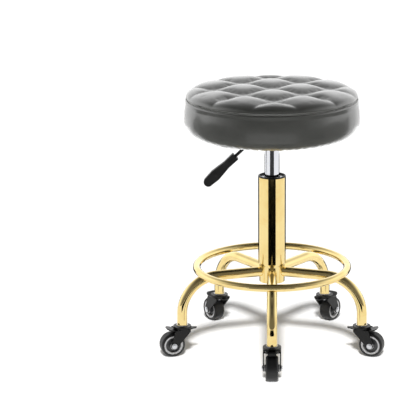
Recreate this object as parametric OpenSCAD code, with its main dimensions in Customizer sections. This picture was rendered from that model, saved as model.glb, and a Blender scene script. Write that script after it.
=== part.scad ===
// Pedicure stool: a round padded seat on a gas lift, with a five-leg base, a foot ring and
// braked twin-plate casters. +Z is up. The origin is on the column's axis at floor level, and
// the front leg points along -Y. The seat is drawn at its resting height in the lift's travel.

/* [Seat] */
// Widest diameter of the cushion
seat_d = 330; // [290:1:400]
// Height of the side band, from the underside to the seam
band_h = 68; // [58:1:85]
// Rise of the quilted top above the seam
crown_h = 26.5; // [22:0.5:34]
// Radius of the rounded lower edge
lower_edge_r = 32; // [24:1:38]
// Radius of the side band's outward bulge
band_bulge_r = 137; // [110:1:170]
// Radius of the shoulder above the seam
shoulder_r = 22; // [16:1:24]
// Radius of the flat middle of the cushion's top
seat_flat_r = 40; // [30:1:60]
// Thickness of the leather cover
cover_t = 1.2; // [0.8:0.1:2]
// Thickness of the plywood board
board_t = 15; // [12:1:18]
// Width of the leather wrapped under the board's edge
leather_wrap = 14; // [10:1:18]

/* [Mounting plate] */
// Side of the square steel plate
plate_w = 140; // [130:1:160]
// Thickness of the plate
plate_t = 3; // [2:0.5:4]
// Spacing of the four plate bolts, hole to hole
bolt_pitch = 115; // [108:1:118]
// Diameter of the plate bolts
bolt_d = 6; // [5:0.5:8]
// Inner diameter of the plate's raised dome
dome_d = 77; // [74:1:84]
// Height of the dome's inside above the plate's top face
dome_rise = 11.5; // [10:0.5:12]
// Steel thickness of the dome
dome_t = 2.5; // [1.5:0.5:3]
// Depth of the mechanism below the seat's underside
mechanism_h = 26.7; // [24:0.1:32]

/* [Lever] */
// Diameter of the lever rod
lever_rod_d = 6; // [5:0.5:7]
// Distance of the lever's pivot from the column's axis
lever_arm = 18; // [16:0.5:20]
// Distance of the rod's bend from the column's axis
lever_bend_x = 24; // [23:0.5:27]
// Angle of the outer lever below level
lever_drop_a = 44; // [38:1:48]
// Distance from the bend to the start of the grip
lever_reach = 62; // [55:1:75]
// Length of the grip
grip_l = 80; // [65:1:96]
// Widest part of the grip
grip_w = 20.5; // [17:0.5:25]
// Thickness of the grip
grip_t = 13; // [11:0.5:16]
// Diameter of the lever's pivot pin
pivot_d = 5; // [4:0.5:6]

/* [Gas lift] */
// Travel of the seat below the resting height
lift_down = 50; // [40:1:60]
// Travel of the seat above the resting height
lift_up = 100; // [80:1:120]
// Diameter of the chromed pressure tube
tube_d = 28; // [25:0.5:34]
// Wall of the pressure tube
tube_wall = 2.2; // [1.8:0.1:2.8]
// Diameter of the piston rod
rod_d = 10; // [8:0.5:12]
// Diameter of the piston rod's neck, which runs through the bearing
rod_neck_d = 8; // [7:0.5:9]
// Outer diameter of the steel column
column_d = 46.8; // [44:0.2:48]
// Wall of the steel column
column_wall = 2; // [1.5:0.1:2.5]
// Length of the guide bush
bush_l = 70; // [56:1:84]
// Length of the column tube beyond the lift's whole travel
column_extra = 16.6; // [10:0.1:30]

/* [Cover tube] */
// Outer diameter of the gold cover tube
cover_tube_d = 52.4; // [51.6:0.1:56]
// Wall of the cover tube
cover_tube_wall = 1.2; // [1:0.1:1.6]
// Height of the black collar above the cover tube
collar_h = 2.5; // [2:0.1:4]

/* [Base] */
// Radius of the circle that the leg bottoms stand on
leg_circle_r = 178.5; // [165:0.5:215]
// Outer diameter of the leg tubes
leg_d = 19; // [16:0.5:22]
// Wall of the leg tubes
leg_wall = 1.5; // [1.2:0.1:2]
// Centreline radius of each leg's bend
leg_bend_r = 70; // [54:1:78]
// Drop from the spoke's centreline to the leg's bottom
leg_drop = 90; // [84:0.5:104]
// Radius of the foot ring's centreline
ring_r = 143.5; // [118:0.5:150]
// Diameter of the foot ring's tube
ring_d = 14; // [11:0.5:16]
// Outer diameter of the hub's waist
hub_d = 48; // [46:0.5:50]
// Distance from the spoke's centreline to the hub's underside
hub_below = 20; // [16:0.5:22]
// Distance from the spoke's centreline to the hub's top
hub_above = 18; // [17.5:0.5:26]

/* [Casters] */
// Height of the leg bottoms above the floor
caster_h = 60; // [59:0.5:72]
// Diameter of the wheel over its tyre
wheel_d = 46; // [38:0.5:47]
// Width of the tyre
wheel_w = 23; // [19:0.5:25]
// Distance of the wheel's axle behind the swivel axis
trail = 20; // [18:0.5:24]
// Diameter of the caster's head
head_d = 34; // [30:0.5:38]
// Gap between the fork's side plates
fork_gap = 29.4; // [27.6:0.2:34]
// Thickness of the fork's side plates
fork_t = 2; // [1.5:0.1:2.6]
// Diameter of the wheel axle
axle_d = 6; // [5:0.5:8]
// Diameter of the caster's stem
stem_d = 10; // [8:0.5:11]
// Length of the brake pedal beyond its pivot
pedal_l = 20; // [17:0.5:24]
// Width of the brake pedal
pedal_w = 26; // [20:0.5:27]

/* [Fits] */
// Radial clearance of parts that run in each other
running = 0.05; // [0.03:0.01:0.09]
// Gap between separate parts that move past each other
part_gap = 0.3; // [0.25:0.05:0.5]

/* [Hidden] */
$fn = 96;
LEG_COUNT = 5;
SIDES = ["front", "right", "back_right", "back_left", "left"];
function per_side(piece) = [for (side = SIDES) str(piece, "_", side)];
eps = 0.01;

// Base heights
spoke_z = caster_h + leg_drop;
bend_x = leg_circle_r - leg_bend_r;
ring_rest = leg_d / 2 + ring_d / 2;
ring_saddle = 0.8;
ring_z = spoke_z - ring_saddle + (ring_r > bend_x
    ? sqrt(pow(leg_bend_r + ring_rest, 2) - pow(ring_r - bend_x, 2)) - leg_bend_r
    : ring_rest);
hub_z = spoke_z - hub_below;
hub_top = spoke_z + hub_above;
cover_tube_l = lift_up + lift_down + column_extra;
cover_tube_top = hub_top + cover_tube_l;
collar_top = cover_tube_top + collar_h;

// Gas lift heights: the thrust bearing stands on the column's floor
floor_t = 3;
race_t = 2;
ball_d = 3;
ball_count = 12;
race_groove = 0.6;
race_r = 15;
ball_track_r = 10.5;
bearing_gap = ball_d - 2 * race_groove + 4 * running;
lower_race_z = hub_z + floor_t;
ball_z = lower_race_z + race_t - race_groove + running + ball_d / 2;
upper_race_z = lower_race_z + race_t + bearing_gap;
bump_z = upper_race_z + race_t;
bump_h = 10;
bump_r = 11;
stroke_spare = 2;
tube_z = bump_z + bump_h + lift_down + stroke_spare;
guide_l = 15;
piston_z = tube_z + guide_l + lift_up + stroke_spare;
piston_l = 12;
valve_z = piston_z + piston_l + lift_down + stroke_spare;
column_top = cover_tube_top - 0.8;
lip_t = 2;
bush_z = column_top - lip_t - bush_l;
tube_r = tube_d / 2;
tube_bore_r = tube_r - tube_wall;

// Column radii
column_r = column_d / 2;
hub_wall = 3;
column_neck_r = hub_d / 2 - hub_wall;
column_foot_r = column_neck_r - 0.7;
neck_rise = 3.8;
clip_t = 1.2;
washer_t = 1.5;
clip_r = 7;

// Seat heights
stop_gap = 1.5;
socket_z = collar_top + lift_down + stop_gap;
underside_z = socket_z + mechanism_h;
seam_z = underside_z + band_h;
seat_top = seam_z + crown_h;
board_z = underside_z + cover_t;
seat_r = seat_d / 2;
seam_inset = 5;
board_d = seat_d - 2 * lower_edge_r - 2;
underside_open_d = board_d - 2 * leather_wrap;
top_bulge_r = 2500;

// Plate and tee nuts
plate_corner_r = 12;
nut_flange_r = 9;
nut_flange_t = 1.5;
nut_barrel_r = bolt_d / 2 + 1.2;
nut_barrel_l = 9;

// Lever and taper
lever_z = underside_z + lever_rod_d / 4;
dome_z = underside_z + dome_rise;
button_rise = 3;
tube_top = lever_z - lever_rod_d / 2 - button_rise;
taper_rise = tube_top - socket_z;
taper_top_r = tube_r - 0.7;
socket_r = 20;
bracket_t = 3;
bracket_x = 28;
bracket_y = 25;
web_z = socket_z + 9;
pin_d = 7;
pin_bore_z = tube_top - 10;
pin_dome_r = 5;
lever_tip_x = 2;
barrel_d = pivot_d + 5;
grip_bore_l = 25;

// Leg ends and casters
end_bush_h = 8;
stem_flange_t = 1.8;
stem_flange_r = 11;
head_top = caster_h - stem_flange_t - part_gap;
head_h = 5.1;
bridge_t = 2.6;
bridge_z = head_top - head_h - bridge_t;
rivet_r = 7;
rivet_t = 3;
fork_half = fork_gap / 2 + fork_t;
bridge_back = 0.36 * head_d;
axle_z = wheel_d / 2;
rim_r = 0.8 * axle_z;
pedal_pivot_x = 12;
pedal_pivot_z = bridge_z - 0.4;
pedal_t = 2;
pedal_tilt = 16;
trunnion_d = 3;
plate_top = head_top - head_h;

module at_side(k) {
    rotate([0, 0, 360 / LEG_COUNT * k - 90]) children();
}

module ring_of(r_out, r_in, h) {
    difference() {
        cylinder(r = r_out, h = h);
        translate([0, 0, -eps]) cylinder(r = r_in, h = h + 2 * eps);
    }
}

// A cylinder of radius r that runs along Y for a length l, centred at the origin
module cross_rod(r, l) {
    rotate([90, 0, 0]) cylinder(r = r, h = l, center = true);
}

// ---------------------------------------------------------------- Seat cushion

// Half-section of the cushion, inset by t so that the cover and the foam nest
module seat_section(t) {
    edge_x = seat_r - lower_edge_r;
    bulge_z = lower_edge_r;
    shoulder_x = seat_r - seam_inset - shoulder_r;
    shoulder_z = band_h + 1.5;
    intersection() {
        translate([0, t]) square([seat_r - t, band_h - t]);
        translate([seat_r - band_bulge_r, bulge_z]) circle(band_bulge_r - t);
        union() {
            square([edge_x, band_h]);
            translate([0, bulge_z]) square([seat_r, band_h]);
            translate([edge_x, bulge_z]) circle(lower_edge_r - t);
        }
    }
    intersection() {
        translate([0, band_h]) square([seat_r, crown_h - t]);
        translate([0, band_h + crown_h - top_bulge_r + pow(seat_flat_r, 2) / (2 * top_bulge_r)])
            circle(top_bulge_r - t, $fn = 720);
        union() {
            translate([0, band_h]) square([shoulder_x, crown_h]);
            translate([shoulder_x, shoulder_z]) circle(shoulder_r - t);
            translate([0, band_h]) square([shoulder_x + shoulder_r - t, shoulder_z - band_h]);
        }
    }
}

module seat_solid(t) {
    translate([0, 0, underside_z]) rotate_extrude() seat_section(t);
}

module seat_board_shape() {
    translate([0, 0, board_z]) cylinder(d = board_d, h = board_t);
}

// The four bolt positions on the mounting plate
module at_bolts() {
    for (x = [-1, 1], y = [-1, 1])
        translate([x * bolt_pitch / 2, y * bolt_pitch / 2, 0]) children();
}

module nut_shapes() {
    at_bolts() translate([0, 0, board_z + board_t]) {
        cylinder(r = nut_flange_r, h = nut_flange_t);
        translate([0, 0, -nut_barrel_l]) cylinder(r = nut_barrel_r, h = nut_barrel_l + eps);
    }
}

module seat_cover() {
    color([0.32, 0.32, 0.3]) difference() {
        seat_solid(0);
        seat_solid(cover_t);
        translate([0, 0, underside_z - 1]) cylinder(d = underside_open_d, h = cover_t + 1.5);
    }
}

module seat_foam() {
    color([0.93, 0.9, 0.78]) difference() {
        seat_solid(cover_t);
        seat_board_shape();
        nut_shapes();
    }
}

module seat_board() {
    color([0.78, 0.62, 0.42]) difference() {
        seat_board_shape();
        translate([0, 0, board_z - eps])
            cylinder(d = dome_d + 2 * dome_t + 1, h = board_t + 2 * eps);
        nut_shapes();
        at_bolts() translate([0, 0, board_z - eps])
            cylinder(r = bolt_d / 2 + 0.4, h = board_t);
    }
}

// Four tee nuts pressed into the board's top side
module board_nuts() {
    color([0.75, 0.75, 0.78]) difference() {
        nut_shapes();
        at_bolts() translate([0, 0, underside_z]) cylinder(d = bolt_d, h = board_t + 10);
    }
}

module dust_cover() {
    color([0.12, 0.12, 0.12]) translate([0, 0, underside_z]) difference() {
        cylinder(d = underside_open_d, h = cover_t);
        translate([0, 0, -eps]) cylinder(d = dome_d + 2 * dome_t + 1, h = cover_t + 2 * eps);
        at_bolts() translate([0, 0, -eps]) cylinder(r = bolt_d / 2 + 0.4, h = cover_t + 1);
    }
}

// ---------------------------------------------------------------- Mounting plate and lever

module mounting_plate() {
    inner = plate_w / 2 - plate_corner_r;
    color([0.08, 0.08, 0.09]) difference() {
        union() {
            translate([0, 0, underside_z - plate_t]) {
                translate([-plate_w / 2, -inner, 0]) cube([plate_w, 2 * inner, plate_t]);
                translate([-inner, -plate_w / 2, 0]) cube([2 * inner, plate_w, plate_t]);
                for (x = [-1, 1], y = [-1, 1])
                    translate([x * inner, y * inner, 0]) cylinder(r = plate_corner_r, h = plate_t);
            }
            translate([0, 0, underside_z - plate_t])
                cylinder(d = dome_d + 2 * dome_t, h = plate_t + dome_rise + dome_t);
        }
        translate([0, 0, underside_z - plate_t - 1]) cylinder(d = dome_d, h = plate_t + dome_rise + 1);
        at_bolts() translate([0, 0, underside_z - plate_t - 1])
            cylinder(r = bolt_d / 2 + 0.4, h = plate_t + 2);
    }
}

// Four hexagon-head screws, each with its washer face against the plate
module plate_bolts() {
    bolt_head_h = 0.65 * bolt_d;
    color([0.7, 0.7, 0.72]) at_bolts() translate([0, 0, underside_z - plate_t]) {
        translate([0, 0, -bolt_head_h]) cylinder(d = 1.9 * bolt_d, h = bolt_head_h, $fn = 6);
        translate([0, 0, -eps]) cylinder(d = bolt_d, h = plate_t + cover_t + board_t);
    }
}

// Channel-shaped bracket: its web holds the taper socket and its two ears hold the lever's pin
module lever_bracket() {
    color([0.08, 0.08, 0.09]) difference() {
        union() {
            translate([-bracket_x, -bracket_y, web_z])
                cube([2 * bracket_x, 2 * bracket_y, bracket_t]);
            for (side = [-1, 1])
                translate([-bracket_x, side * (bracket_y - bracket_t / 2) - bracket_t / 2, web_z])
                    cube([2 * bracket_x, bracket_t, dome_z - web_z]);
        }
        translate([0, 0, web_z - 1]) cylinder(r = socket_r, h = bracket_t + 2);
        translate([-lever_arm, 0, lever_z]) cross_rod(pivot_d / 2, 3 * bracket_y);
    }
}

// Tapered sleeve that grips the top of the pressure tube
module taper_socket() {
    color([0.1, 0.1, 0.11]) translate([0, 0, socket_z]) difference() {
        cylinder(r = socket_r, h = taper_rise);
        cylinder(r1 = tube_r, r2 = taper_top_r, h = taper_rise);
        translate([0, 0, -1]) cylinder(r = tube_r, h = 1 + eps);
        translate([0, 0, taper_rise - eps]) cylinder(r = taper_top_r, h = 1);
    }
}

// Pivot pin with a peened head at each end
module lever_pin() {
    peen_t = 1.5;
    color([0.75, 0.75, 0.78]) translate([-lever_arm, 0, lever_z]) {
        cross_rod(pivot_d / 2, 2 * bracket_y);
        for (side = [-1, 1])
            translate([0, side * (bracket_y + peen_t / 2), 0]) cross_rod(pivot_d / 2 + 1.2, peen_t);
    }
}

// Places its children at the lever's bend with local +X down along the outer lever
module along_lever() {
    translate([-lever_bend_x, 0, lever_z]) rotate([0, lever_drop_a, 180]) children();
}

module lever_rod() {
    rod_r = lever_rod_d / 2;
    barrel_l = 2 * (bracket_y - bracket_t - part_gap);
    color([0.06, 0.06, 0.06]) difference() {
        union() {
            translate([-lever_bend_x, 0, lever_z]) rotate([0, 90, 0])
                cylinder(r = rod_r, h = lever_bend_x + lever_tip_x);
            translate([-lever_bend_x, 0, lever_z]) sphere(rod_r);
            along_lever() rotate([0, 90, 0]) cylinder(r = rod_r, h = lever_reach + grip_bore_l);
            translate([-lever_arm, 0, lever_z]) cross_rod(barrel_d / 2, barrel_l);
        }
        translate([-lever_arm, 0, lever_z]) cross_rod(pivot_d / 2 + running, barrel_l + 2);
    }
}

// Moulded paddle: a square-ended neck that swells to a broad rounded end
module lever_grip() {
    start = lever_reach;
    neck_w = 0.72 * grip_w;
    color([0.13, 0.13, 0.13]) along_lever() difference() {
        union() {
            hull() {
                translate([start, -grip_t / 2, -neck_w / 2]) cube([2, grip_t, neck_w]);
                translate([start + grip_l * 0.3, 0, 0]) cross_rod(neck_w / 2 - 0.5, grip_t - 1, $fn = 32);
            }
            hull() {
                translate([start + grip_l * 0.3, 0, 0]) cross_rod(neck_w / 2 - 0.5, grip_t - 1, $fn = 32);
                translate([start + grip_l * 0.66, 0, 0]) cross_rod(grip_w / 2, grip_t - 1, $fn = 32);
                translate([start + grip_l - grip_w * 0.42, 0, 0])
                    cross_rod(grip_w * 0.42, grip_t - 2, $fn = 32);
            }
        }
        rotate([0, 90, 0]) cylinder(d = lever_rod_d, h = start + grip_bore_l);
    }
}

// Valve button on top of the gas spring, with a domed tip under the lever's inner end
module release_pin() {
    top = lever_z - lever_rod_d / 2 - part_gap;
    color([0.7, 0.7, 0.72]) intersection() {
        translate([0, 0, pin_bore_z + 4]) cylinder(d = pin_d, h = top - pin_bore_z);
        union() {
            translate([0, 0, top - pin_dome_r]) sphere(pin_dome_r);
            translate([0, 0, pin_bore_z]) cylinder(d = pin_d + 1, h = top - pin_dome_r - pin_bore_z);
        }
    }
}

// ---------------------------------------------------------------- Gas spring

module pressure_tube() {
    color([0.85, 0.86, 0.88]) difference() {
        union() {
            translate([0, 0, tube_z]) cylinder(r = tube_r, h = socket_z - tube_z);
            translate([0, 0, socket_z]) cylinder(r1 = tube_r, r2 = taper_top_r, h = taper_rise);
        }
        translate([0, 0, tube_z - 1]) cylinder(r = tube_bore_r, h = tube_top - tube_z + 2);
    }
}

module valve_body() {
    color([0.8, 0.78, 0.7]) difference() {
        translate([0, 0, valve_z]) cylinder(r = tube_bore_r, h = tube_top - valve_z);
        translate([0, 0, pin_bore_z]) cylinder(d = pin_d + 2 * running, h = tube_top);
    }
}

// Plug in the tube's lower end that guides and seals the piston rod
module rod_guide() {
    color([0.2, 0.2, 0.2]) translate([0, 0, tube_z])
        ring_of(tube_bore_r, rod_d / 2 + running, guide_l);
}

module piston_rod() {
    neck_l = bump_z - hub_z + clip_t + washer_t + part_gap + 1;
    color([0.75, 0.76, 0.78]) {
        translate([0, 0, bump_z]) cylinder(d = rod_d, h = piston_z + piston_l - bump_z);
        translate([0, 0, bump_z - neck_l]) cylinder(d = rod_neck_d, h = neck_l + eps);
    }
}

// Piston with a groove for its seal
module piston() {
    groove_t = 4;
    color([0.6, 0.55, 0.35]) translate([0, 0, piston_z]) difference() {
        ring_of(tube_bore_r - running, rod_d / 2, piston_l);
        translate([0, 0, (piston_l - groove_t) / 2])
            ring_of(tube_bore_r + 1, tube_bore_r - 2, groove_t);
    }
}

module bump_stop() {
    color([0.1, 0.1, 0.1]) translate([0, 0, bump_z]) ring_of(bump_r, rod_d / 2, bump_h);
}

// Track that the balls run in, at height z
module ball_track(z) {
    translate([0, 0, z]) rotate_extrude()
        translate([ball_track_r, 0]) circle(ball_d / 2 + running, $fn = 48);
}

module upper_race() {
    color([0.6, 0.6, 0.62]) difference() {
        translate([0, 0, upper_race_z]) ring_of(race_r, rod_neck_d / 2, race_t);
        ball_track(ball_z);
    }
}

module lower_race() {
    color([0.6, 0.6, 0.62]) difference() {
        translate([0, 0, lower_race_z])
            ring_of(column_bore_low(), rod_neck_d / 2 + part_gap, race_t);
        ball_track(ball_z);
    }
}

// Twelve balls in a flat ring that keeps them apart
module ball_cage() {
    cage_t = 0.9;
    color([0.75, 0.62, 0.35]) {
        difference() {
            translate([0, 0, ball_z - cage_t / 2])
                ring_of(ball_track_r + 2.4, ball_track_r - 2.4, cage_t);
            cage_balls(ball_d / 2 + running);
        }
        cage_balls(ball_d / 2);
    }
}

module cage_balls(r) {
    for (i = [0:ball_count - 1])
        rotate([0, 0, i * 360 / ball_count]) translate([ball_track_r, 0, ball_z]) sphere(r, $fn = 48);
}

// Washer and snap clip under the column's floor, which keep the rod in the column
module rod_clip() {
    color([0.4, 0.4, 0.42]) {
        translate([0, 0, hub_z - part_gap - washer_t]) ring_of(clip_r + 1, rod_neck_d / 2, washer_t);
        translate([0, 0, hub_z - part_gap - washer_t - clip_t]) ring_of(clip_r, rod_neck_d / 2, clip_t);
    }
}

// ---------------------------------------------------------------- Column

function column_bore_low() = column_foot_r - column_wall;

// Steel outer column: a tapered foot in the hub, a wide barrel above it and a turned-in lip
module steel_column() {
    inner_r = column_r - column_wall;
    low_l = hub_top - hub_z;
    color([0.72, 0.73, 0.75]) difference() {
        union() {
            translate([0, 0, hub_z]) cylinder(r1 = column_foot_r, r2 = column_neck_r, h = low_l);
            translate([0, 0, hub_top])
                cylinder(r1 = column_neck_r, r2 = column_r, h = neck_rise);
            translate([0, 0, hub_top + neck_rise])
                cylinder(r = column_r, h = column_top - hub_top - neck_rise);
        }
        translate([0, 0, hub_z + floor_t]) cylinder(r = column_bore_low(), h = low_l - floor_t + eps);
        translate([0, 0, hub_top])
            cylinder(r1 = column_bore_low(), r2 = inner_r, h = neck_rise + column_wall);
        translate([0, 0, hub_top + neck_rise + column_wall - eps])
            cylinder(r = inner_r, h = column_top - lip_t - hub_top - neck_rise - column_wall + eps);
        translate([0, 0, column_top - lip_t - 1]) cylinder(r = tube_r + 1.2, h = lip_t + 2);
        translate([0, 0, hub_z - 1]) cylinder(r = rod_neck_d / 2 + part_gap, h = floor_t + 2);
    }
}

module guide_bush() {
    color([0.88, 0.88, 0.85]) translate([0, 0, bush_z])
        ring_of(column_r - column_wall, tube_r + running, bush_l);
}

// Black collar over the cover tube's edge, with a skirt that centres the steel column
module column_collar() {
    skirt_l = 8;
    outer_r = cover_tube_d / 2;
    round_r = 1.4;
    color([0.05, 0.05, 0.05]) {
        translate([0, 0, cover_tube_top]) rotate_extrude() {
            translate([column_r, 0]) square([outer_r - column_r, collar_h - round_r]);
            translate([column_r, 0]) square([outer_r - column_r - round_r, collar_h]);
            translate([outer_r - round_r, collar_h - round_r]) circle(round_r);
        }
        translate([0, 0, cover_tube_top - skirt_l])
            ring_of(outer_r - cover_tube_wall, column_r, skirt_l + eps);
    }
}

module cover_tube() {
    color([0.93, 0.78, 0.42]) translate([0, 0, hub_top])
        ring_of(cover_tube_d / 2, cover_tube_d / 2 - cover_tube_wall, cover_tube_l);
}

// ---------------------------------------------------------------- Base

// Turned hub with a tapered bore, a straight waist and a flared top
module hub() {
    waist_r = hub_d / 2;
    top_r = cover_tube_d / 2;
    flare_r = 11;
    flare_z = hub_below + leg_d / 2 + 1;
    total = hub_below + hub_above;
    color([0.93, 0.78, 0.42]) translate([0, 0, hub_z]) difference() {
        rotate_extrude() difference() {
            square([top_r, total]);
            translate([waist_r, -1]) square([top_r, flare_z + 1]);
            translate([waist_r + flare_r, flare_z]) circle(flare_r);
        }
        cylinder(r1 = column_foot_r, r2 = column_neck_r, h = total);
        translate([0, 0, -1]) cylinder(r = column_foot_r, h = 1 + eps);
        translate([0, 0, total - eps]) cylinder(r = column_neck_r, h = 1);
    }
}

// Tube ring on top of the legs, with a shallow saddle where it is welded to each of them
module foot_ring() {
    color([0.93, 0.78, 0.42]) difference() {
        translate([0, 0, ring_z]) rotate_extrude() translate([ring_r, 0]) difference() {
            circle(d = ring_d);
            circle(d = ring_d - 2 * leg_wall);
        }
        for (k = [0:LEG_COUNT - 1]) at_side(k) leg_path(leg_d / 2, hub_d / 2);
    }
}

// The leg's swept path at tube radius r: a level spoke, a quarter bend and a short upright
module leg_path(r, start_x) {
    translate([start_x, 0, spoke_z]) rotate([0, 90, 0]) cylinder(r = r, h = bend_x - start_x);
    translate([bend_x, 0, spoke_z - leg_bend_r]) rotate([90, 0, 0]) rotate_extrude(angle = 90)
        translate([leg_bend_r, 0]) circle(r);
    translate([leg_circle_r, 0, caster_h]) cylinder(r = r, h = leg_drop - leg_bend_r);
}

// Bent tube leg, coped to the hub, with a solid end that takes the caster's stem
module leg(k) {
    color([0.93, 0.78, 0.42]) at_side(k) difference() {
        leg_path(leg_d / 2, hub_d / 2 - hub_wall);
        difference() {
            leg_path(leg_d / 2 - leg_wall, 0);
            translate([leg_circle_r, 0, caster_h - 1]) cylinder(d = leg_d, h = end_bush_h + 1);
        }
        cylinder(d = hub_d, h = hub_top);
        translate([leg_circle_r, 0, caster_h - 1]) cylinder(d = stem_d, h = end_bush_h + 2);
    }
}

// ---------------------------------------------------------------- Casters

// Places its children at caster k, with local +X the direction in which the wheel trails
module at_caster(k) {
    at_side(k) translate([leg_circle_r, 0, 0]) children();
}

// Five stems: a shank in the leg, a flange under it and a riveted head under the fork's bridge
module caster_stems() {
    color([0.7, 0.7, 0.72]) for (k = [0:LEG_COUNT - 1]) at_caster(k) {
        translate([0, 0, bridge_z - part_gap - rivet_t]) cylinder(r = rivet_r, h = rivet_t);
        translate([0, 0, bridge_z - part_gap - eps])
            cylinder(d = stem_d, h = caster_h + end_bush_h + 1.5 - bridge_z + part_gap);
        translate([0, 0, caster_h - stem_flange_t]) cylinder(r = stem_flange_r, h = stem_flange_t);
    }
}

// Outline of a side plate in the wheel's plane: broad under the head, narrow at the axle
module side_plate_outline() {
    boss_r = axle_d / 2 + 3.2;
    hull() {
        translate([-bridge_back, bridge_z - 1]) square([bridge_back + head_d / 2, bridge_t + 1]);
        translate([trail, axle_z]) circle(boss_r, $fn = 32);
    }
}

module fork(k) {
    head_r = head_d / 2;
    lug_tip_r = 2.2;
    color([0.07, 0.07, 0.07]) at_caster(k) difference() {
        union() {
            translate([0, 0, plate_top]) rotate_extrude() {
                square([head_r, head_h * 0.5]);
                square([head_r * 0.93, head_h * 0.62]);
                intersection() {
                    square([head_r, head_h]);
                    translate([head_r * 0.5, head_h * 0.62]) circle(head_r * 0.5);
                }
                square([head_r * 0.5, head_h]);
            }
            translate([-bridge_back, -fork_half, bridge_z])
                cube([bridge_back + pedal_pivot_x - 4, 2 * fork_half, bridge_t]);
            for (side = [-1, 1])
                translate([0, side * (fork_half - fork_t / 2) + fork_t / 2, 0])
                    rotate([90, 0, 0]) linear_extrude(fork_t) side_plate_outline();
            hull() {
                translate([-bridge_back, -8, bridge_z]) cube([2, 16, bridge_t]);
                translate([-head_r - 9, 0, bridge_z]) cylinder(r = lug_tip_r, h = bridge_t, $fn = 32);
            }
        }
        translate([0, 0, bridge_z - 1]) cylinder(r = stem_d / 2 + running, h = head_top);
        translate([trail, 0, axle_z]) cross_rod(axle_d / 2, 3 * fork_half);
        translate([pedal_pivot_x, 0, pedal_pivot_z]) cross_rod(trunnion_d / 2 + running, 3 * fork_half);
    }
}

// Axle bolt with a domed head at each end
module axle(k) {
    head_r = axle_d / 2 + 2.2;
    head_t = 2.6;
    color([0.78, 0.79, 0.8]) at_caster(k) translate([trail, 0, axle_z]) {
        cross_rod(axle_d / 2, 2 * fork_half);
        for (side = [-1, 1])
            translate([0, side * fork_half, 0]) rotate([-90 * side, 0, 0]) {
                cylinder(r = head_r, h = head_t * 0.5);
                cylinder(r1 = head_r, r2 = head_r * 0.6, h = head_t);
            }
    }
}

// Moulded wheel centre: a bore boss, a thin web and a rim that the tyre sits on
module rim(k) {
    boss_r = axle_d / 2 + 4;
    boss_w = fork_gap - 2 * part_gap;
    rim_w = wheel_w - 3;
    web_w = 9;
    rim_t = 3.6;
    color([0.85, 0.86, 0.87]) at_caster(k) translate([trail, 0, axle_z]) difference() {
        union() {
            cross_rod(boss_r, boss_w);
            cross_rod(rim_r, web_w);
            difference() {
                cross_rod(rim_r, rim_w);
                cross_rod(rim_r - rim_t, rim_w + 1);
            }
        }
        cross_rod(axle_d / 2 + running, boss_w + 2);
    }
}

// Solid tyre with well-rounded shoulders
module tyre(k) {
    tyre_r = wheel_d / 2;
    round_r = 4.2;
    color([0.1, 0.1, 0.1]) at_caster(k) translate([trail, 0, axle_z]) rotate([90, 0, 0])
        rotate_extrude() {
            translate([rim_r, -wheel_w / 2]) square([tyre_r - round_r - rim_r, wheel_w]);
            translate([rim_r, round_r - wheel_w / 2]) square([tyre_r - rim_r, wheel_w - 2 * round_r]);
            intersection() {
                translate([rim_r, -wheel_w / 2]) square([tyre_r - rim_r, wheel_w]);
                for (side = [-1, 1])
                    translate([tyre_r - round_r, side * (wheel_w / 2 - round_r)]) circle(round_r);
            }
        }
}

// Foot brake: trunnions in the fork's plates, a pedal above the wheel and a shoe under it
module brake(k) {
    half = pedal_w / 2;
    shoe_z = wheel_d + 1.2;
    shoe_x = trail - pedal_pivot_x;
    shoe_half = 4;
    function plate_mid(x) = pedal_pivot_z + x * tan(pedal_tilt);
    color([0.09, 0.09, 0.09]) at_caster(k) {
        translate([pedal_pivot_x, 0, pedal_pivot_z]) cross_rod(trunnion_d / 2, 2 * fork_half);
        translate([pedal_pivot_x, 0, pedal_pivot_z]) rotate([0, -pedal_tilt, 0]) {
            translate([-1, -half, -pedal_t / 2]) cube([pedal_l - 6, pedal_w, pedal_t]);
            hull() for (y = [-1, 1])
                translate([pedal_l - 8, y * (half - 8), -pedal_t / 2])
                    cylinder(r = 8, h = pedal_t, $fn = 32);
        }
        translate([pedal_pivot_x, 8, 0]) rotate([90, 0, 0]) linear_extrude(16) polygon([
            [shoe_x - shoe_half, shoe_z], [shoe_x + shoe_half, shoe_z],
            [shoe_x + shoe_half, plate_mid(shoe_x + shoe_half)],
            [shoe_x - shoe_half, plate_mid(shoe_x - shoe_half)]]);
    }
}

// ---------------------------------------------------------------- Assembly

seat_cover();
seat_foam();
seat_board();
board_nuts();
dust_cover();
mounting_plate();
plate_bolts();
lever_bracket();
taper_socket();
lever_pin();
lever_rod();
lever_grip();
release_pin();
pressure_tube();
valve_body();
rod_guide();
piston_rod();
piston();
bump_stop();
upper_race();
rod_clip();
ball_cage();
lower_race();
steel_column();
guide_bush();
column_collar();
cover_tube();
hub();
foot_ring();
caster_stems();
for (k = [0:LEG_COUNT - 1]) {
    leg(k);
    fork(k);
    axle(k);
    rim(k);
    tyre(k);
    brake(k);
}
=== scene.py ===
import math

import bmesh
import bpy
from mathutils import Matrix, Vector, noise


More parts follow.
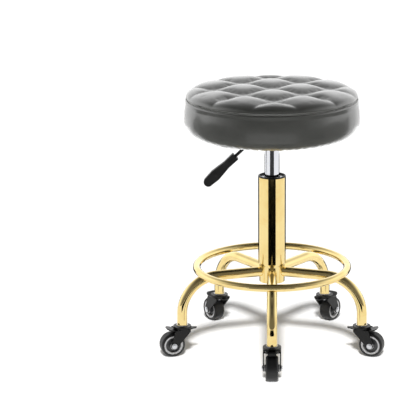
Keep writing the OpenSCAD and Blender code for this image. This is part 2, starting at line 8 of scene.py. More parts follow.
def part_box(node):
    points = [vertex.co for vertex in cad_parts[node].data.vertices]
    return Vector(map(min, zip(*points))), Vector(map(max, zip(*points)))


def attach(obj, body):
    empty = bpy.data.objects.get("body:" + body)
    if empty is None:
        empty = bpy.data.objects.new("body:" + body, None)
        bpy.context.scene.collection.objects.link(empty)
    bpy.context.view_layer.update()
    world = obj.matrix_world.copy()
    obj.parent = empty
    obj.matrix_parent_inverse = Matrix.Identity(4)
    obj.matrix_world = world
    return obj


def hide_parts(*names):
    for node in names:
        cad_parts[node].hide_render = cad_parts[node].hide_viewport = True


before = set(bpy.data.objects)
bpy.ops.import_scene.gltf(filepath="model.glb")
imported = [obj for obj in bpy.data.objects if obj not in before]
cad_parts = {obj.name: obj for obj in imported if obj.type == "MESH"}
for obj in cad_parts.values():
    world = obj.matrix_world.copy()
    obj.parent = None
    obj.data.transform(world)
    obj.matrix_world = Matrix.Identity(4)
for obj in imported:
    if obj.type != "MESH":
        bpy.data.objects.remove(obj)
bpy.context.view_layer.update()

# ---------------------------------------------------------------- Camera and studio
# The stool stands on a plain pale floor between bright far walls and an unlit near end, seen from
# its front through a long lens. A high soft lamp lights only the floor, and cards that lie on it
# show only in reflections.
camera_back, camera_height, camera_tilt = 3.4941, 1.1953, 14.79
camera_lens = bpy.data.cameras.new("studio_camera")
camera_lens.sensor_width = 36
camera_lens.lens = 165.33
camera_lens.shift_x = -0.1538
camera_lens.clip_end = 60
camera = bpy.data.objects.new("studio_camera", camera_lens)
camera.location = (0, -camera_back, camera_height)
camera.rotation_euler = (math.radians(90 - camera_tilt), 0, 0)
bpy.context.scene.collection.objects.link(camera)
bpy.context.scene.camera = camera
bpy.context.scene.view_settings.view_transform = "Standard"


def add_node(tree, kind, links=None, **settings):
    """A node with its settings and its linked or plain inputs."""
    node = tree.nodes.new("ShaderNode" + kind)
    for key, value in settings.items():
        setattr(node, key, value)
    for key, value in (links or {}).items():
        socket = node.inputs[key]
        if isinstance(value, bpy.types.NodeSocket):
            tree.links.new(value, socket)
        else:
            socket.default_value = value
    return node


def spread(tree, value, low, high, to_low, to_high):
    """A value remapped from one range to another, and held at the ends."""
    return add_node(tree, "MapRange", {"Value": value, "From Min": low, "From Max": high,
                                       "To Min": to_low, "To Max": to_high}).outputs["Result"]


# The walls' light: dim at the near end, bright at the far end, a share of it at the ceiling, and
# a share of all that for light that falls on dull surfaces
near_wall_light, far_wall_light, ceiling_share, soft_share = 0.2, 1.35, 0.16, 0.5
near_wall_y, far_wall_y = -0.7, 0.15
wall_top_z, ceiling_z = 0.42, 0.85
studio_walls = bpy.data.worlds.new("studio_walls")
studio_walls.use_nodes = True
walls_tree = studio_walls.node_tree
walls_lit = walls_tree.nodes["Background"]
walls_lit.inputs["Color"].default_value = (1, 1, 1, 1)
walls_place = add_node(walls_tree, "SeparateXYZ", {
    "Vector": add_node(walls_tree, "TexCoord").outputs["Generated"]})
walls_light = add_node(walls_tree, "Math", {
    0: spread(walls_tree, walls_place.outputs["Y"], near_wall_y, far_wall_y, near_wall_light,
              far_wall_light),
    1: spread(walls_tree, walls_place.outputs["Z"], wall_top_z, ceiling_z, 1.0, ceiling_share)},
    operation="MULTIPLY")
walls_path = add_node(walls_tree, "LightPath")
walls_soft = spread(walls_tree, walls_path.outputs["Is Diffuse Ray"], 0.0, 1.0, 1.0, soft_share)
walls_tree.links.new(add_node(walls_tree, "Math", {0: walls_light.outputs[0], 1: walls_soft},
                              operation="MULTIPLY").outputs[0], walls_lit.inputs["Strength"])
bpy.context.scene.world = studio_walls

lamp_strength, lamp_softness, lamp_tilt = 4.5, math.radians(9), math.radians(46)
high_lamp = bpy.data.lights.new("high_lamp", "SUN")
high_lamp.energy = lamp_strength
high_lamp.angle = lamp_softness
high_lamp_stand = bpy.data.objects.new("high_lamp", high_lamp)
high_lamp_stand.rotation_euler = (lamp_tilt, 0, 0)
bpy.context.scene.collection.objects.link(high_lamp_stand)


def mesh_piece(name, points, faces, smooth=True):
    """A mesh object made from its points and faces, linked to the scene."""
    mesh = bpy.data.meshes.new(name)
    mesh.from_pydata([tuple(p) for p in points], [], faces)
    mesh.validate()
    mesh.polygons.foreach_set("use_smooth", [smooth] * len(mesh.polygons))
    piece = bpy.data.objects.new(name, mesh)
    bpy.context.scene.collection.objects.link(piece)
    return piece


def new_finish(name, colour, metallic=0.0, roughness=0.5, **sockets):
    """A material with its plain values set on the shader's own sockets."""
    finish = bpy.data.materials.new(name)
    finish.use_nodes = True
    shader = finish.node_tree.nodes["Principled BSDF"]
    shader.inputs["Base Color"].default_value = (*colour, 1)
    shader.inputs["Metallic"].default_value = metallic
    shader.inputs["Roughness"].default_value = roughness
    for socket, value in sockets.items():
        shader.inputs[socket.replace("_", " ")].default_value = value
    return finish, finish.node_tree, shader


floor_radius = 9.0
floor_rings, floor_sides = 6, 64
floor_points = [(0, 0, 0)] + [
    (floor_radius * (ring / floor_rings) ** 2 * math.cos(2 * math.pi * side / floor_sides),
     floor_radius * (ring / floor_rings) ** 2 * math.sin(2 * math.pi * side / floor_sides), 0)
    for ring in range(1, floor_rings + 1) for side in range(floor_sides)]
floor_faces = [(0, 1 + side, 1 + (side + 1) % floor_sides) for side in range(floor_sides)] + [
    (1 + ring * floor_sides + side, 1 + (ring + 1) * floor_sides + side,
     1 + (ring + 1) * floor_sides + (side + 1) % floor_sides,
     1 + ring * floor_sides + (side + 1) % floor_sides)
    for ring in range(floor_rings - 1) for side in range(floor_sides)]
floor = mesh_piece("studio_floor", floor_points, floor_faces)
floor_finish, _, _ = new_finish("pale_floor", (0.92, 0.92, 0.92), roughness=0.8)
floor.data.materials.append(floor_finish)
lamp_lights = bpy.data.collections.new("lamp_lights")
lamp_lights.objects.link(floor)
high_lamp_stand.light_linking.receiver_collection = lamp_lights


def card_colour(name, tone, glow):
    """A dull card's finish: tone is what it reflects, and glow what the linked pieces see."""
    return new_finish(name, (tone, tone, tone), roughness=1.0, Specular_IOR_Level=0.0,
                      Emission_Color=(1, 1, 1, 1), Emission_Strength=glow)


def floor_card(name, finish, near, far, half_angle, facing, height, seen_by):
    """A fan-shaped card on the floor that only shows in reflections. Its glow reaches seen_by."""
    steps = 24
    turns = [half_angle * (2 * step / steps - 1) for step in range(steps + 1)]
    card = mesh_piece(name, [(reach * math.sin(turn), facing * reach * math.cos(turn), height)
                             for reach in (near, far) for turn in turns],
                      [(step, step + 1, step + steps + 2, step + steps + 1)
                       for step in range(steps)])
    card.data.materials.append(finish)
    card.visible_camera = card.visible_diffuse = card.visible_shadow = False
    card.light_linking.receiver_collection = seen_by
    return card


# The near and far cards are black to the polished metal and pale to the leather, and the wide card
# under them is pale to the metal and dull to the leather. The near card turns grey at its far end.
leather_pieces = bpy.data.collections.new("leather_pieces")
hard_pieces = bpy.data.collections.new("hard_pieces")
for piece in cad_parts.values():
    hard_pieces.objects.link(piece)
card_black, card_grey, wide_tone = 0.003, 0.16, 0.7
near_glow, far_glow, wide_glow = 0.45, 1.9, 0.9
card_level, wide_card_level = 0.002, 0.001
near_finish, near_tree, near_shader = card_colour("near_card_black", card_black, near_glow)
card_place = add_node(near_tree, "SeparateXYZ", {
    "Vector": add_node(near_tree, "TexCoord").outputs["Object"]})
near_tree.links.new(add_node(near_tree, "CombineColor", {
    channel: spread(near_tree, card_place.outputs["Y"], -1.34, -1.29, card_grey, card_black)
    for channel in ("Red", "Green", "Blue")}).outputs["Color"], near_shader.inputs["Base Color"])
near_card = floor_card("near_card", near_finish, 0.44, 3.2, math.radians(31), -1, card_level,
                       leather_pieces)
far_finish, _, _ = card_colour("far_card_black", card_black, far_glow)
far_card = floor_card("far_card", far_finish, 0.34, 1.62, math.radians(47), 1, card_level,
                      leather_pieces)
wide_finish, _, _ = card_colour("wide_card_grey", wide_tone, wide_glow)
wide_card = floor_card("wide_card", wide_finish, 0.03, 8.8, math.radians(117), -1, wide_card_level,
                       hard_pieces)

# ---------------------------------------------------------------- Hub, cover tube, legs and ring
# Steel tube and a turned hub, welded up and then plated in polished gold tone. The plating shows
# faint drawing lines, handling marks and slightly uneven gloss.


def effect_group(name, takes, gives):
    """An empty shader group with named inputs and outputs."""
    group = bpy.data.node_groups.new(name, "ShaderNodeTree")
    for label, kind, value in takes:
        socket = group.interface.new_socket(label, in_out="INPUT", socket_type="NodeSocket" + kind)
        socket.default_value = value
    for label, kind in gives:
        group.interface.new_socket(label, in_out="OUTPUT", socket_type="NodeSocket" + kind)
    return group, group.nodes.new("NodeGroupInput"), group.nodes.new("NodeGroupOutput")


def blend_colours(tree, share, a, b, mode="MIX"):
    """A colour mix of a and b by a share that changes over the surface."""
    mix = add_node(tree, "Mix", data_type="RGBA", blend_type=mode)
    for key, value in ((0, share), (6, a), (7, b)):
        if isinstance(value, bpy.types.NodeSocket):
            tree.links.new(value, mix.inputs[key])
        else:
            mix.inputs[key].default_value = value if key == 0 else (*value[:3], 1)
    return mix.outputs[2]


# Handling marks: soft smears and a fine haze that change how sharply polished metal reflects
handling_marks, marks_in, marks_out = effect_group(
    "handling_marks",
    [("Smear Scale", "Float", 18.0), ("Clean", "Float", 0.08), ("Smeared", "Float", 0.2)],
    [("Roughness", "Float"), ("Smears", "Float")])
marks_place = add_node(handling_marks, "TexCoord").outputs["Object"]
marks_smear = add_node(handling_marks, "TexNoise", {
    "Vector": marks_place, "Scale": marks_in.outputs["Smear Scale"], "Detail": 5.0,
    "Roughness": 0.62, "Distortion": 0.8})
marks_haze = add_node(handling_marks, "TexNoise", {
    "Vector": marks_place, "Scale": 900.0, "Detail": 2.0})
marks_mask = spread(handling_marks, marks_smear.outputs["Fac"], 0.45, 0.75, 0.0, 1.0)
haze_share = 0.12
marks_both = add_node(handling_marks, "Math", {
    0: marks_haze.outputs["Fac"], 1: haze_share, 2: marks_mask}, operation="MULTIPLY_ADD",
    use_clamp=True)
marks_range = add_node(handling_marks, "MapRange", {
    "Value": marks_both.outputs[0], "To Min": marks_in.outputs["Clean"],
    "To Max": marks_in.outputs["Smeared"]})
handling_marks.links.new(marks_range.outputs["Result"], marks_out.inputs["Roughness"])
handling_marks.links.new(marks_mask, marks_out.inputs["Smears"])

# Uneven surface: a slow ripple with a fine one over it, for drawn tube, castings and thick paint
uneven_surface, uneven_in, uneven_out = effect_group(
    "uneven_surface",
    [("Ripple Scale", "Float", 30.0), ("Fine Scale", "Float", 400.0), ("Fine Share", "Float", 0.3)],
    [("Height", "Float")])
uneven_place = add_node(uneven_surface, "TexCoord").outputs["Object"]
uneven_slow = add_node(uneven_surface, "TexNoise", {
    "Vector": uneven_place, "Scale": uneven_in.outputs["Ripple Scale"], "Detail": 1.0})
uneven_fine = add_node(uneven_surface, "TexNoise", {
    "Vector": uneven_place, "Scale": uneven_in.outputs["Fine Scale"], "Detail": 3.0})
uneven_sum = add_node(uneven_surface, "Math", {
    0: uneven_fine.outputs["Fac"], 1: uneven_in.outputs["Fine Share"],
    2: uneven_slow.outputs["Fac"]}, operation="MULTIPLY_ADD")
uneven_surface.links.new(uneven_sum.outputs[0], uneven_out.inputs["Height"])


def place_group(tree, group, **values):
    """A shared effect placed in a material with its own values."""
    node = tree.nodes.new("ShaderNodeGroup")
    node.node_tree = group
    for key, value in values.items():
        socket = node.inputs[key.replace("_", " ")]
        if isinstance(value, bpy.types.NodeSocket):
            tree.links.new(value, socket)
        else:
            socket.default_value = value
    return node


def add_bump(tree, shader, height, strength, distance):
    """Raises the surface by a height, which has to be one that changes over it."""
    bump = add_node(tree, "Bump", {"Height": height, "Strength": strength, "Distance": distance})
    tree.links.new(bump.outputs["Normal"], shader.inputs["Normal"])


def polished_metal(name, colour, tint, clean, smeared, ripple=0.00004):
    """Plated or polished metal with handling marks, a slight tint change and a tube's ripple."""
    finish, tree, shader = new_finish(name, colour, metallic=1.0, roughness=clean)
    marks = place_group(tree, handling_marks, Clean=clean, Smeared=smeared)
    tree.links.new(marks.outputs["Roughness"], shader.inputs["Roughness"])
    tree.links.new(blend_colours(tree, marks.outputs["Smears"], colour, tint),
                   shader.inputs["Base Color"])
    surface = place_group(tree, uneven_surface, Ripple_Scale=24.0, Fine_Scale=700.0,
                          Fine_Share=0.05)
    add_bump(tree, shader, surface.outputs["Height"], 0.25, ripple)
    return finish


def dress(finish, *nodes):
    """Gives CAD nodes, whose shape stays, their finish."""
    for name in nodes:
        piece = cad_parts[name]
        if not piece.material_slots:
            piece.data.materials.append(finish)
        for held in piece.material_slots:
            held.material = finish


sides = ["front", "right", "back_right", "back_left", "left"]
gold_plate = polished_metal("gold_plate", (0.86, 0.68, 0.31), (0.78, 0.58, 0.22), 0.045, 0.11)
dress(gold_plate, "hub", "cover_tube", "foot_ring", *["leg_" + side for side in sides])

# The ring is left out of every reflection, so that the cover tube shows a clean streak
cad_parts["foot_ring"].visible_glossy = False

# The lamp is stopped by the base alone, and by a wider strip under each leg that nothing else sees
shadow_casters = bpy.data.collections.new("shadow_casters")
for part in ("leg_", "fork_", "tyre_", "rim_"):
    for side in sides:
        shadow_casters.objects.link(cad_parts[part + side])
shadow_casters.objects.link(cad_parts["hub"])
strip_path = [(0.0, 0.148), (0.11, 0.148), (0.15, 0.132), (0.172, 0.10), (0.182, 0.06)]
strip_half = 0.017
strip_points, strip_faces = [], []
for leg in range(len(sides)):
    turn = 2 * math.pi * leg / len(sides)
    along = Vector((math.sin(turn), -math.cos(turn), 0))
    across = Vector((math.cos(turn), math.sin(turn), 0))
    start = len(strip_points)
    for reach, height in strip_path:
        for sign in (-1, 1):
            strip_points.append(along * reach + across * sign * strip_half + Vector((0, 0, height)))
    for corner in range(start, start + 2 * (len(strip_path) - 1), 2):
        strip_faces.append((corner, corner + 1, corner + 3, corner + 2))
shade_strips = mesh_piece("shade_strips", strip_points, strip_faces)
for kind_of_view in ("visible_camera", "visible_glossy", "visible_diffuse", "visible_transmission"):
    setattr(shade_strips, kind_of_view, False)
shadow_casters.objects.link(shade_strips)
high_lamp_stand.light_linking.blocker_collection = shadow_casters

# ---------------------------------------------------------------- Steel column and lift
# The hardened rod and the chromed pressure tube are ground and polished. The column, bearing
# rings, clip, stems and screws are bright zinc plate, and the piston and valve are bronze.
chrome_plate = polished_metal("chrome_plate", (0.74, 0.75, 0.78), (0.62, 0.63, 0.67), 0.06, 0.15)
dress(chrome_plate, "pressure_tube", "piston_rod")
zinc_plate = polished_metal("zinc_plate", (0.68, 0.69, 0.71), (0.55, 0.56, 0.60), 0.24, 0.42)
dress(zinc_plate, "steel_column", "upper_race", "lower_race", "rod_clip", "caster_stems",
      "plate_bolts", "board_nuts", "lever_pin", "release_pin", *["axle_" + side for side in sides])
sintered_bronze = polished_metal("sintered_bronze", (0.52, 0.38, 0.20), (0.38, 0.27, 0.15), 0.3,
                                 0.5)
dress(sintered_bronze, "piston", "valve_body", "ball_cage")


def moulded(name, colour, worn, roughness, grain_scale, grain_depth, **sockets):
    """Moulded plastic, rubber or thick paint: a fine texture, and slightly worn patches."""
    finish, tree, shader = new_finish(name, colour, roughness=roughness, **sockets)
    marks = place_group(tree, handling_marks, Smear_Scale=26.0, Clean=roughness,
                        Smeared=min(1.0, roughness + 0.15))
    tree.links.new(marks.outputs["Roughness"], shader.inputs["Roughness"])
    tree.links.new(blend_colours(tree, marks.outputs["Smears"], colour, worn),
                   shader.inputs["Base Color"])
    surface = place_group(tree, uneven_surface, Ripple_Scale=60.0, Fine_Scale=grain_scale,
                          Fine_Share=1.0)
    add_bump(tree, shader, surface.outputs["Height"], 0.4, grain_depth)
    return finish


bush_plastic = moulded("bush_plastic", (0.72, 0.72, 0.68), (0.62, 0.62, 0.57), 0.45, 500.0, 0.00006)
dress(bush_plastic, "guide_bush")
black_rubber = moulded("black_rubber", (0.02, 0.02, 0.02), (0.035, 0.035, 0.035), 0.62, 700.0,
                       0.0001)
dress(black_rubber, "bump_stop", "rod_guide")
black_plastic = moulded("black_plastic", (0.006, 0.006, 0.006), (0.011, 0.011, 0.011), 0.3, 450.0,
                        0.00004, Specular_IOR_Level=0.3)
dress(black_plastic, "column_collar", *["fork_" + side for side in sides],
      *["brake_" + side for side in sides])
tyre_black = moulded("tyre_black", (0.014, 0.014, 0.015), (0.028, 0.028, 0.028), 0.45, 600.0,
                     0.0001, Specular_IOR_Level=0.4)
dress(tyre_black, *["tyre_" + side for side in sides])

# ---------------------------------------------------------------- Wheel centres
# One moulding for each wheel. Its colour is bright white on the rim, which the tyre grips,
# and dark grey on the web and boss inside it.
wheel_tones, tones_in, tones_out = effect_group(
    "wheel_tones", [("Centre", "Vector", (0, 0, 0)), ("Ring Start", "Float", 0.0156)],
    [("Ring", "Float")])
tones_reach = add_node(wheel_tones, "VectorMath", {
    0: add_node(wheel_tones, "TexCoord").outputs["Object"], 1: tones_in.outputs["Centre"]},
    operation="DISTANCE")
tones_past = add_node(wheel_tones, "Math", {
    0: tones_reach.outputs["Value"], 1: tones_in.outputs["Ring Start"]}, operation="SUBTRACT")
ring_edge = 0.0002
wheel_tones.links.new(spread(wheel_tones, tones_past.outputs[0], -ring_edge, ring_edge, 0.0, 1.0),
                      tones_out.inputs["Ring"])
web_colour, web_worn, ring_colour = (0.085, 0.086, 0.09), (0.06, 0.06, 0.062), (0.86, 0.86, 0.87)
for side in sides:
    low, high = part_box("rim_" + side)
    rim_finish = moulded("rim_plastic_" + side, web_colour, web_worn, 0.32, 300.0, 0.00003)
    rim_tree = rim_finish.node_tree
    rim_shader = rim_tree.nodes["Principled BSDF"]
    plain_colour = rim_shader.inputs["Base Color"].links[0].from_socket
    tones = place_group(rim_tree, wheel_tones, Centre=(low + high) / 2)
    rim_tree.links.new(blend_colours(rim_tree, tones.outputs["Ring"], plain_colour, ring_colour),
                       rim_shader.inputs["Base Color"])
    dress(rim_finish, "rim_" + side)

# ---------------------------------------------------------------- Mounting plate and lever
# Pressed and folded steel under black powder coat, which has a slight orange peel. The lever's
# paddle is black plastic with a fine grain.
black_paint = moulded("black_paint", (0.01, 0.01, 0.011), (0.022, 0.022, 0.022), 0.36, 260.0,
                      0.00008)
dress(black_paint, "mounting_plate", "lever_bracket", "taper_socket", "lever_rod")
grip_plastic = moulded("grip_plastic", (0.009, 0.009, 0.009), (0.016, 0.016, 0.016), 0.42, 900.0,
                       0.0001, Specular_IOR_Level=0.4)
dress(grip_plastic, "lever_grip")

# ---------------------------------------------------------------- Quilted seat pad
# Grey synthetic leather over soft foam, stitched through along two sets of parallel lines that
# cross as diamonds. The foam swells between the lines and rolls over a shoulder into the seam.
underside_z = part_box("seat_cover")[0].z
seam_z = underside_z + 0.068
seam_r = 0.1602
puff_rise, valley_rise = 0.0258, 0.0174
puff_round, valley_round = 3.5, 3.0
stitch_pitch = 0.0769
quilt_turn = math.radians(47)
puff_fullness = 2.7
last_line = 1.5
rim_fill, rim_fill_start, rim_fill_width = 0.6, 0.112, 0.042


def dome(r, rise, roundness):
    """Height above the seam of a crowned disc that rolls over to the seam."""
    return rise * (1 - min(1.0, r / seam_r) ** roundness) ** (1 / roundness)


def across_quilt(x, y):
    """A point's distances along the two directions that the stitch lines run across."""
    return (x * math.cos(quilt_turn) + y * math.sin(quilt_turn),
            y * math.cos(quilt_turn) - x * math.sin(quilt_turn))


def puff_share(distance):
    """0 on a stitch line and 1 in the middle of a puff; beyond the last line a puff runs out."""
    lines = abs(distance) / stitch_pitch
    within = lines % 1.0
    if lines >= last_line:
        within = 0.5
    return 1 - abs(2 * within - 1) ** puff_fullness


def quilt_height(x, y):
    """Height of the quilted top above the floor."""
    r = math.hypot(x, y)
    u, v = across_quilt(x, y)
    low, high = dome(r, valley_rise, valley_round), dome(r, puff_rise, puff_round)
    ramp = min(1.0, max(0.0, (r - rim_fill_start) / rim_fill_width))
    low += (high - low) * rim_fill * ramp * ramp * (3 - 2 * ramp)
    return seam_z + low + (high - low) * puff_share(u) * puff_share(v)


def quilt_point(x, y):
    """The point of the quilted top above x and y."""
    return (x, y, quilt_height(x, y))


cells_per_pitch = 26
cell = stitch_pitch / cells_per_pitch
cells_out = int(seam_r / cell) + 1
inner_r = 0.1455
shoulder_rings = [0.1482, 0.151, 0.1534, 0.1555, 0.1572, 0.1584, 0.1593, 0.1599, seam_r]
rim_sides = 420
tuck_share, tuck_depth = 0.98, 0.003

pad_mesh = bmesh.new()
grid = {}
for i in range(-cells_out, cells_out + 1):
    for j in range(-cells_out, cells_out + 1):
        u, v = i * cell, j * cell
        if math.hypot(u, v) <= inner_r:
            x = u * math.cos(quilt_turn) - v * math.sin(quilt_turn)
            y = u * math.sin(quilt_turn) + v * math.cos(quilt_turn)
            grid[i, j] = pad_mesh.verts.new(quilt_point(x, y))
for (i, j), corner in grid.items():
    others = [grid.get(key) for key in ((i + 1, j), (i + 1, j + 1), (i, j + 1))]
    if None not in others:
        pad_mesh.faces.new([corner, *others])
for lone in [v for v in pad_mesh.verts if not v.link_faces]:
    pad_mesh.verts.remove(lone)
open_edges = [e for e in pad_mesh.edges if e.is_boundary]
rings = []
for ring_r in shoulder_rings:
    ring = [pad_mesh.verts.new(quilt_point(ring_r * math.cos(2 * math.pi * s / rim_sides),
                                           ring_r * math.sin(2 * math.pi * s / rim_sides)))
            for s in range(rim_sides)]
    rings.append(ring)
first_edges = [pad_mesh.edges.new((rings[0][s], rings[0][(s + 1) % rim_sides]))
               for s in range(rim_sides)]
bmesh.ops.bridge_loops(pad_mesh, edges=open_edges + first_edges)
for outer, inner in zip(rings[1:], rings):
    for s in range(rim_sides):
        after = (s + 1) % rim_sides
        pad_mesh.faces.new([inner[s], outer[s], outer[after], inner[after]])
tuck = [pad_mesh.verts.new((tuck_share * v.co.x, tuck_share * v.co.y, seam_z - tuck_depth))
        for v in rings[-1]]
for s in range(rim_sides):
    after = (s + 1) % rim_sides
    pad_mesh.faces.new([rings[-1][s], tuck[s], tuck[after], rings[-1][after]])
pad_mesh.faces.new(list(reversed(tuck)))
bmesh.ops.recalc_face_normals(pad_mesh, faces=pad_mesh.faces)
pad_data = bpy.data.meshes.new("quilted_top")
pad_mesh.to_mesh(pad_data)
pad_mesh.free()
pad_data.polygons.foreach_set("use_smooth", [True] * len(pad_data.polygons))
quilted_top = bpy.data.objects.new("quilted_top", pad_data)
bpy.context.scene.collection.objects.link(quilted_top)

# The leather is held along its stitch lines and at the rim, and a little spare leather swells
# between them under the foam's pressure, which puckers it along the stitching
swell_frames, swell_limit, held_share = 20, 0.0014, 0.16
held_rim_r, held_height = 0.1475, 0.004
stitched = quilted_top.vertex_groups.new(name="stitched")
for point in pad_data.vertices:
    u, v = across_quilt(point.co.x, point.co.y)
    on_line = min(puff_share(u), puff_share(v)) < held_share
    at_rim = math.hypot(point.co.x, point.co.y) > held_rim_r or point.co.z < seam_z + held_height
    if on_line or at_rim:
        stitched.add([point.index], 1.0, "REPLACE")
flat_points = [point.co.copy() for point in pad_data.vertices]
swell = quilted_top.modifiers.new("swell", "CLOTH")
swell.settings.vertex_group_mass = "stitched"
swell.settings.effector_weights.gravity = 0
swell.settings.use_pressure = True
swell.settings.uniform_pressure_force = 2.5
swell.settings.shrink_min = -0.0025
swell.settings.quality = 4
swell.settings.bending_stiffness = 3.0
swell.collision_settings.use_collision = False
swell.point_cache.frame_start, swell.point_cache.frame_end = 1, swell_frames
for step in range(1, swell_frames + 1):
    bpy.context.scene.frame_set(step)
swollen = quilted_top.evaluated_get(bpy.context.evaluated_depsgraph_get()).data
moves = [swollen.vertices[place].co - start for place, start in enumerate(flat_points)]
quilted_top.modifiers.remove(swell)
bpy.context.scene.frame_set(1)
for point, start, move in zip(pad_data.vertices, flat_points, moves):
    point.co = start + move * min(1.0, swell_limit / max(move.length, 1e-9))

# Leather grain: small rounded pebbles with fine creases between them, and broad uneven patches
leather_grain, grain_in, grain_out = effect_group(
    "leather_grain",
    [("Pebble Scale", "Float", 900.0), ("Patch Scale", "Float", 14.0)],
    [("Height", "Float"), ("Patches", "Float")])
grain_place = add_node(leather_grain, "TexCoord").outputs["Object"]
grain_bend = add_node(leather_grain, "TexNoise", {
    "Vector": grain_place, "Scale": 260.0, "Detail": 2.0})
grain_moved = add_node(leather_grain, "VectorMath", {
    0: grain_bend.outputs["Color"], 1: (0.002, 0.002, 0.002), 2: grain_place},
    operation="MULTIPLY_ADD")
grain_pebbles = add_node(leather_grain, "TexVoronoi", {
    "Vector": grain_moved.outputs[0], "Scale": grain_in.outputs["Pebble Scale"]},
    feature="DISTANCE_TO_EDGE")
grain_height = spread(leather_grain, grain_pebbles.outputs["Distance"], 0.0, 0.25, 0.0, 1.0)
grain_patches = add_node(leather_grain, "TexNoise", {
    "Vector": grain_place, "Scale": grain_in.outputs["Patch Scale"], "Detail": 4.0,
    "Roughness": 0.55})
leather_grain.links.new(grain_height, grain_out.inputs["Height"])
leather_grain.links.new(spread(leather_grain, grain_patches.outputs["Fac"], 0.35, 0.65, 0.0, 1.0),
                        grain_out.inputs["Patches"])

leather_colour, leather_light = (0.052, 0.054, 0.046), (0.066, 0.068, 0.059)
grey_leather, leather_tree, leather_shader = new_finish(
    "grey_leather", leather_colour, roughness=0.3, IOR=1.6, Coat_Weight=1.0, Coat_IOR=1.7,
    Coat_Roughness=0.17)
leather_effect = place_group(leather_tree, leather_grain)
leather_tree.links.new(blend_colours(leather_tree, leather_effect.outputs["Patches"],
                                     leather_colour, leather_light),
                       leather_shader.inputs["Base Color"])
leather_tree.links.new(spread(leather_tree, leather_effect.outputs["Patches"], 0.0, 1.0, 0.31, 0.4),
                       leather_shader.inputs["Roughness"])
add_bump(leather_tree, leather_shader, leather_effect.outputs["Height"], 0.25, 0.00006)
pad_data.materials.append(grey_leather)
leather_pieces.objects.link(quilted_top)
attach(quilted_top, "seat")
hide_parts("seat_cover", "seat_foam")

# ---------------------------------------------------------------- Side band
# One strip of the same leather round the foam. It is sewn to the pad's edge, bulges a little, and
# is drawn under the board in small pleats that are stapled down behind the black cloth.
band_bulge, lower_edge_r, band_r, band_top = 0.137, 0.032, 0.165, 0.0630
edge_fullness = 0.9
under_open_r = 0.1182
band_steps, edge_steps = 14, 16


def band_profile():
    """Radius and height above the underside, from the seam's tuck down to the staples."""
    points = [(0.1578, 0.0650), (0.1590, 0.0680), (0.1602, 0.0690), (0.1614, 0.0686),
              (0.1621, 0.0672), (0.1624, 0.0652)]
    for step in range(1, band_steps + 1):
        z = band_top - (band_top - lower_edge_r) * step / band_steps
        bulge = math.sqrt(band_bulge ** 2 - (z - lower_edge_r) ** 2)
        points.append((band_r - band_bulge + bulge, z))
    for step in range(1, edge_steps + 1):
        turn = math.radians(90 * step / edge_steps)
        points.append((band_r - lower_edge_r * (1 - math.cos(turn) ** edge_fullness),
                       lower_edge_r * (1 - math.sin(turn) ** edge_fullness)))
    return points + [(0.130, 0.0), (0.126, 0.0), (0.122, 0.0001), (under_open_r, 0.0003)]


band_sides = 384
profile = band_profile()
pleat_count, pleat_size, pleat_height = 58, 0.0011, 0.014
leather_gauge, band_inset, slack_size = 0.0012, 0.0006, 0.0006
band_points, band_faces = [], []
for place, (r, z) in enumerate(profile):
    under = max(0.0, 1 - z / pleat_height) * min(1.0, (r - under_open_r) / 0.004)
    for s in range(band_sides):
        turn = 2 * math.pi * s / band_sides
        spot = Vector((math.cos(turn), math.sin(turn), 0)) * 5
        pleat = abs(math.sin(pleat_count / 2 * turn + 0.9 * noise.noise(spot * 1.7)))
        pleat_depth = pleat_size * under * (1 - pleat) ** 2
        below_seam = min(1.0, max(0.0, 0.066 - z) / 0.01)
        slack = slack_size * noise.noise(spot + Vector((0, 0, 30 * z))) * below_seam
        reach = r - band_inset + slack
        band_points.append((reach * math.cos(turn), reach * math.sin(turn),
                            underside_z + z + pleat_depth))
for place in range(len(profile) - 1):
    for s in range(band_sides):
        after = (s + 1) % band_sides
        band_faces.append((place * band_sides + s, (place + 1) * band_sides + s,
                           (place + 1) * band_sides + after, place * band_sides + after))
side_band = mesh_piece("side_band", band_points, band_faces)
thickness = side_band.modifiers.new("leather_thickness", "SOLIDIFY")
thickness.thickness = leather_gauge
thickness.offset = -1
side_band.data.materials.append(grey_leather)
leather_pieces.objects.link(side_band)
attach(side_band, "seat")
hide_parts("seat_cover")

# ---------------------------------------------------------------- Topstitching
# Two rows of pale grey thread just inside the seam hold the pad's folded edge down. Each stitch
# is a short length of thread that dips into the leather at both ends.
thread_r, stitch_l, stitch_gap = 0.00034, 0.0031, 0.0010
row_heights = (0.0016, 0.0038)
thread_sides = 6
halving_steps = 26
# Each station along a stitch: its place from end to end, how far it stands out, and its thickness
stitch_stations = ((-1.0, -0.5, 0.5), (-0.8, 0.35, 0.9), (0.0, 0.6, 1.0), (0.8, 0.35, 0.9),
                   (1.0, -0.5, 0.5))


def shoulder_at(turn, height):
    """The point of the pad's shoulder at that height above the seam."""
    near, far = 0.12, seam_r
    for _ in range(halving_steps):
        middle = (near + far) / 2
        above = quilt_height(middle * math.cos(turn), middle * math.sin(turn)) - seam_z
        near, far = (middle, far) if above > height else (near, middle)
    return Vector((near * math.cos(turn), near * math.sin(turn), seam_z + height))


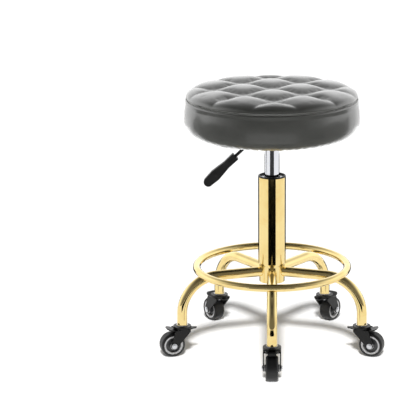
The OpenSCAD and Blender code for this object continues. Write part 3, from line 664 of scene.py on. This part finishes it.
stitch_points, stitch_faces = [], []
stitch_count = round(2 * math.pi * seam_r / (stitch_l + stitch_gap))
half_stitch = 0.5 * stitch_l / seam_r
for row, height in enumerate(row_heights):
    for stitch in range(stitch_count):
        middle = 2 * math.pi * (stitch + 0.5 * row) / stitch_count
        stations = []
        for share, lift, size in stitch_stations:
            turn = middle + share * half_stitch
            out = Vector((math.cos(turn), math.sin(turn), 0.6)).normalized()
            centre = shoulder_at(turn, height) + out * lift * thread_r
            stations.append((centre, out, size * thread_r, turn))
        start = len(stitch_points)
        for centre, out, radius, turn in stations:
            along = Vector((-math.sin(turn), math.cos(turn), 0))
            across = out.cross(along)
            for side in range(thread_sides):
                angle = 2 * math.pi * side / thread_sides
                stitch_points.append(
                    centre + (out * math.cos(angle) + across * math.sin(angle)) * radius)
        for place in range(len(stations) - 1):
            for side in range(thread_sides):
                after = (side + 1) % thread_sides
                low = start + place * thread_sides
                stitch_faces.append((low + side, low + after, low + thread_sides + after,
                                     low + thread_sides + side))
        stitch_faces.append(tuple(range(start + thread_sides - 1, start - 1, -1)))
        last = start + (len(stations) - 1) * thread_sides
        stitch_faces.append(tuple(range(last, last + thread_sides)))
topstitching = mesh_piece("topstitching", stitch_points, stitch_faces)
thread_grey, thread_tree, thread_shader = new_finish("thread_grey", (0.5, 0.5, 0.48), roughness=0.6)
thread_twist = add_node(thread_tree, "TexWave", {
    "Vector": add_node(thread_tree, "TexCoord").outputs["Object"], "Scale": 1400.0,
    "Distortion": 2.0})
thread_tree.links.new(blend_colours(thread_tree, thread_twist.outputs["Fac"], (0.42, 0.42, 0.40),
                                    (0.60, 0.60, 0.58)), thread_shader.inputs["Base Color"])
add_bump(thread_tree, thread_shader, thread_twist.outputs["Fac"], 0.4, 0.0001)
topstitching.data.materials.append(thread_grey)
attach(topstitching, "seat")

# ---------------------------------------------------------------- Board and dust cloth
# The plywood board carries the pad and the plate's bolts. A thin black non-woven cloth closes the
# underside between the plate's dome and the leather's stapled edge, and puckers a little.
plywood, wood_tree, wood_shader = new_finish("plywood", (0.62, 0.45, 0.27), roughness=0.6)
wood_place = add_node(wood_tree, "Mapping", {
    "Vector": add_node(wood_tree, "TexCoord").outputs["Object"], "Scale": (4.0, 60.0, 400.0)})
wood_grain = add_node(wood_tree, "TexNoise", {
    "Vector": wood_place.outputs["Vector"], "Scale": 3.0, "Detail": 6.0, "Distortion": 0.6})
wood_tree.links.new(blend_colours(wood_tree, wood_grain.outputs["Fac"], (0.50, 0.34, 0.18),
                                  (0.74, 0.57, 0.38)), wood_shader.inputs["Base Color"])
add_bump(wood_tree, wood_shader, wood_grain.outputs["Fac"], 0.3, 0.0002)
dress(plywood, "seat_board")

cloth_low, cloth_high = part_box("dust_cover")
cloth_out, cloth_in = cloth_high.x - 0.0002, 0.042
cloth_rings, cloth_sides = 22, 160
cloth_level, pucker_size = 0.0006, 0.00025
cloth_points = []
for ring in range(cloth_rings + 1):
    r = cloth_in + (cloth_out - cloth_in) * ring / cloth_rings
    for side in range(cloth_sides):
        turn = 2 * math.pi * side / cloth_sides
        free = math.sin(math.pi * ring / cloth_rings)
        pucker = pucker_size * noise.noise(Vector((9 * math.cos(turn), 9 * math.sin(turn), 30 * r)))
        cloth_points.append((r * math.cos(turn), r * math.sin(turn),
                             cloth_low.z + cloth_level + free * pucker))
cloth_faces = []
for ring in range(cloth_rings):
    for side in range(cloth_sides):
        after = (side + 1) % cloth_sides
        inner, outer = ring * cloth_sides, (ring + 1) * cloth_sides
        cloth_faces.append((inner + side, inner + after, outer + after, outer + side))
dust_cloth = mesh_piece("dust_cloth", cloth_points, cloth_faces)
cloth_body = dust_cloth.modifiers.new("cloth_thickness", "SOLIDIFY")
cloth_body.thickness = 0.0004
cloth_body.offset = 0
black_cloth, cloth_tree, cloth_shader = new_finish(
    "black_cloth", (0.012, 0.012, 0.013), roughness=0.85, Sheen_Weight=0.3, Sheen_Roughness=0.5)
cloth_fibres = add_node(cloth_tree, "TexNoise", {
    "Vector": add_node(cloth_tree, "TexCoord").outputs["Object"], "Scale": 700.0, "Detail": 4.0,
    "Distortion": 2.5})
cloth_tree.links.new(blend_colours(cloth_tree, cloth_fibres.outputs["Fac"], (0.007, 0.007, 0.008),
                                   (0.026, 0.026, 0.028)), cloth_shader.inputs["Base Color"])
add_bump(cloth_tree, cloth_shader, cloth_fibres.outputs["Fac"], 0.6, 0.0002)
dust_cloth.data.materials.append(black_cloth)
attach(dust_cloth, "seat")
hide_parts("dust_cover")
